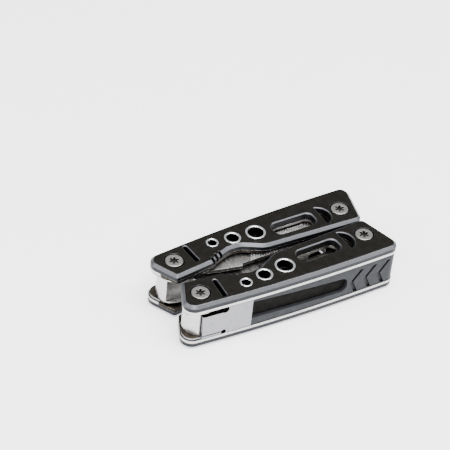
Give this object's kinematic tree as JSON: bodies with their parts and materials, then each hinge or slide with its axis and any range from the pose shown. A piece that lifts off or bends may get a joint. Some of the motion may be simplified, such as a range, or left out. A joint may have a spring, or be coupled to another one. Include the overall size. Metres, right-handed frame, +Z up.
{
  "type": "multi tool",
  "caption": "Folding pocket multi tool: a plier head between two hinged black handles that hold fold-out blades, openers and drivers, shown closed.",
  "frame": {"origin": "under the middle of the closed tool, on the surface it lies on", "axes": "+X towards the tool end of the handles, +Z up out of the upper scales; the front handle is on the -Y side"},
  "size_m": [0.1052, 0.046, 0.0245],
  "materials": {
    "handle_scale": "black anodised, satin, bare bevels",
    "liner_steel": "sheared edge, satin",
    "eyelet_steel": "polished",
    "spring_steel": "fine satin",
    "grip_plastic": "fine moulded grain",
    "strip_plastic": "black, plain moulded",
    "pin_steel": "turned",
    "screw_steel": "satin",
    "plier_steel": "blasted and satin",
    "file_steel": "double cut",
    "tool_steel": "satin"
  },
  "bodies": {
    "plier_frame": {"front_plier_half": "plier_steel", "jaw_rivet": "plier_steel"},
    "plier_mate": {"rear_plier_half": "plier_steel"},
    "front_handle": {"front_top_scale": "handle_scale", "front_bottom_scale": "handle_scale", "front_top_liner": "liner_steel", "front_bottom_liner": "liner_steel", "front_top_eyelets": "eyelet_steel", "front_bottom_eyelets": "eyelet_steel", "front_spring_channel": "spring_steel", "front_grip_insert": "grip_plastic", "front_back_strip": "strip_plastic", "front_pivot_barrel": "pin_steel", "front_pivot_screw": "screw_steel", "front_tool_barrel": "pin_steel", "front_tool_screw": "screw_steel", "front_pivot_washers": "pin_steel", "front_tool_spacers": "pin_steel"},
    "rear_handle": {"rear_top_scale": "handle_scale", "rear_bottom_scale": "handle_scale", "rear_top_liner": "liner_steel", "rear_bottom_liner": "liner_steel", "rear_top_eyelets": "eyelet_steel", "rear_bottom_eyelets": "eyelet_steel", "rear_spring_channel": "spring_steel", "rear_grip_insert": "grip_plastic", "rear_back_strip": "strip_plastic", "rear_pivot_barrel": "pin_steel", "rear_pivot_screw": "screw_steel", "rear_tool_barrel": "pin_steel", "rear_tool_screw": "screw_steel", "rear_pivot_washers": "pin_steel", "rear_tool_spacers": "pin_steel"},
    "knife_blade": {"knife_blade": "tool_steel"},
    "wood_saw": {"wood_saw": "tool_steel"},
    "can_opener": {"can_opener": "tool_steel"},
    "bottle_opener": {"bottle_opener": "tool_steel"},
    "file_blade": {"file_blade": "file_steel"},
    "serrated_blade": {"serrated_blade": "tool_steel"},
    "phillips_driver": {"phillips_driver": "tool_steel"},
    "flat_driver": {"flat_driver": "tool_steel"}
  },
  "joints": [
    {"name": "front_handle_open", "type": "hinge", "parent": "plier_frame", "child": "front_handle", "pos_m": [-0.04313, -0.0113, 0.01205], "axis": [0, 0, -1], "range_deg": [0, 172]},
    {"name": "plier_open", "type": "hinge", "parent": "plier_frame", "child": "plier_mate", "pos_m": [-0.01513, 0, 0.01205], "axis": [0, 0, -1], "range_deg": [0, 25]},
    {"name": "rear_handle_open", "type": "hinge", "parent": "plier_mate", "child": "rear_handle", "pos_m": [-0.04313, 0.0113, 0.01205], "axis": [0, 0, 1], "range_deg": [0, 172]},
    {"name": "knife_blade_open", "type": "hinge", "parent": "front_handle", "child": "knife_blade", "pos_m": [0.04186, -0.00985, 0.01205], "axis": [0, 0, -1], "range_deg": [0, 175]},
    {"name": "wood_saw_open", "type": "hinge", "parent": "front_handle", "child": "wood_saw", "pos_m": [0.04186, -0.00985, 0.01205], "axis": [0, 0, -1], "range_deg": [0, 175]},
    {"name": "can_opener_open", "type": "hinge", "parent": "front_handle", "child": "can_opener", "pos_m": [0.04186, -0.00985, 0.01205], "axis": [0, 0, -1], "range_deg": [0, 175]},
    {"name": "bottle_opener_open", "type": "hinge", "parent": "front_handle", "child": "bottle_opener", "pos_m": [0.04186, -0.00985, 0.01205], "axis": [0, 0, -1], "range_deg": [0, 175]},
    {"name": "file_blade_open", "type": "hinge", "parent": "rear_handle", "child": "file_blade", "pos_m": [0.04186, 0.00985, 0.01205], "axis": [0, 0, 1], "range_deg": [0, 175]},
    {"name": "serrated_blade_open", "type": "hinge", "parent": "rear_handle", "child": "serrated_blade", "pos_m": [0.04186, 0.00985, 0.01205], "axis": [0, 0, 1], "range_deg": [0, 175]},
    {"name": "phillips_driver_open", "type": "hinge", "parent": "rear_handle", "child": "phillips_driver", "pos_m": [0.04186, 0.00985, 0.01205], "axis": [0, 0, 1], "range_deg": [0, 175]},
    {"name": "flat_driver_open", "type": "hinge", "parent": "rear_handle", "child": "flat_driver", "pos_m": [0.04186, 0.00985, 0.01205], "axis": [0, 0, 1], "range_deg": [0, 175]}
  ],
  "couplings": [
    {"joint": "plier_open", "follows": "rear_handle_open", "ratio": 0.1448},
    {"joint": "knife_blade_open", "follows": "front_handle_open", "ratio": 0.62},
    {"joint": "wood_saw_open", "follows": "front_handle_open", "ratio": 0.8},
    {"joint": "can_opener_open", "follows": "front_handle_open", "ratio": 0.9},
    {"joint": "bottle_opener_open", "follows": "front_handle_open", "ratio": 1},
    {"joint": "file_blade_open", "follows": "rear_handle_open", "ratio": 0.62},
    {"joint": "serrated_blade_open", "follows": "rear_handle_open", "ratio": 0.8},
    {"joint": "phillips_driver_open", "follows": "rear_handle_open", "ratio": 0.9},
    {"joint": "flat_driver_open", "follows": "rear_handle_open", "ratio": 1}
  ]
}
